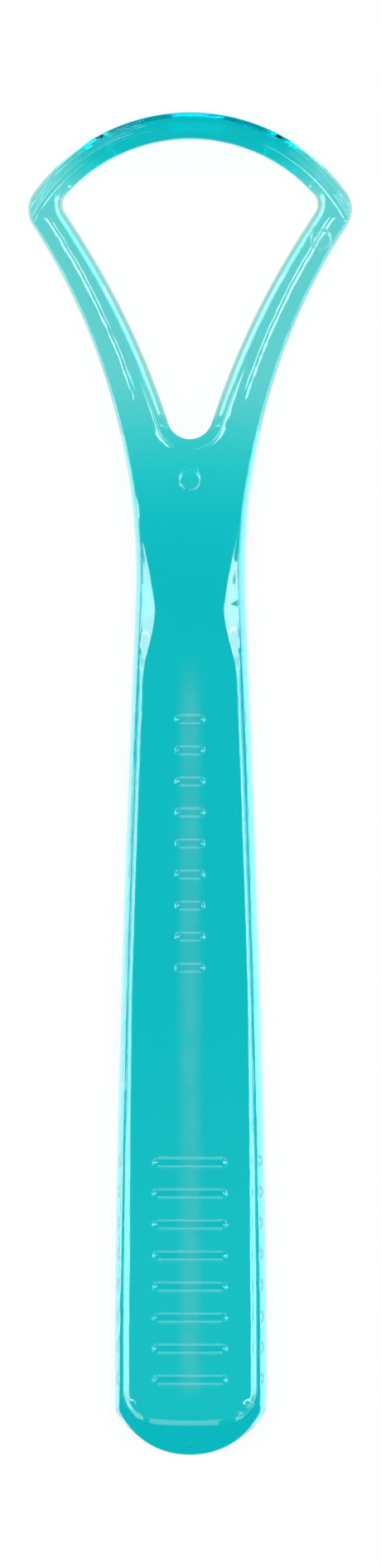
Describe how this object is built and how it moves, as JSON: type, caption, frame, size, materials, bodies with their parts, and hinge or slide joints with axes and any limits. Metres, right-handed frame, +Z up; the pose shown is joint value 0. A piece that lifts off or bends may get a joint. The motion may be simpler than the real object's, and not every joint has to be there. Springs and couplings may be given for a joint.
{
  "type": "tongue scraper",
  "caption": "One-piece transparent plastic tongue scraper: open triangular head loop with a curved scraping blade, slim waist and flat channelled handle.",
  "frame": {"origin": "middle of the whole length and width, on the surface that the scraper lies on", "axes": "+Y along the handle towards the head loop, +X to the right with the channel side facing the viewer, +Z up out of the channel side; the blade points down"},
  "size_m": [0.0386, 0.16, 0.0041],
  "materials": {
    "clear_teal_plastic": "transparent teal tint, polished"
  },
  "bodies": {
    "root": {"handle_plate": "clear_teal_plastic", "left_rail": "clear_teal_plastic", "right_rail": "clear_teal_plastic", "left_facet": "clear_teal_plastic", "right_facet": "clear_teal_plastic", "end_land": "clear_teal_plastic", "neck": "clear_teal_plastic", "yoke": "clear_teal_plastic", "left_arm": "clear_teal_plastic", "right_arm": "clear_teal_plastic", "left_lip": "clear_teal_plastic", "right_lip": "clear_teal_plastic", "bow": "clear_teal_plastic", "scraping_blade": "clear_teal_plastic", "thumb_ribs": "clear_teal_plastic", "grip_ribs": "clear_teal_plastic", "gate_mark": "clear_teal_plastic"}
  },
  "joints": []
}
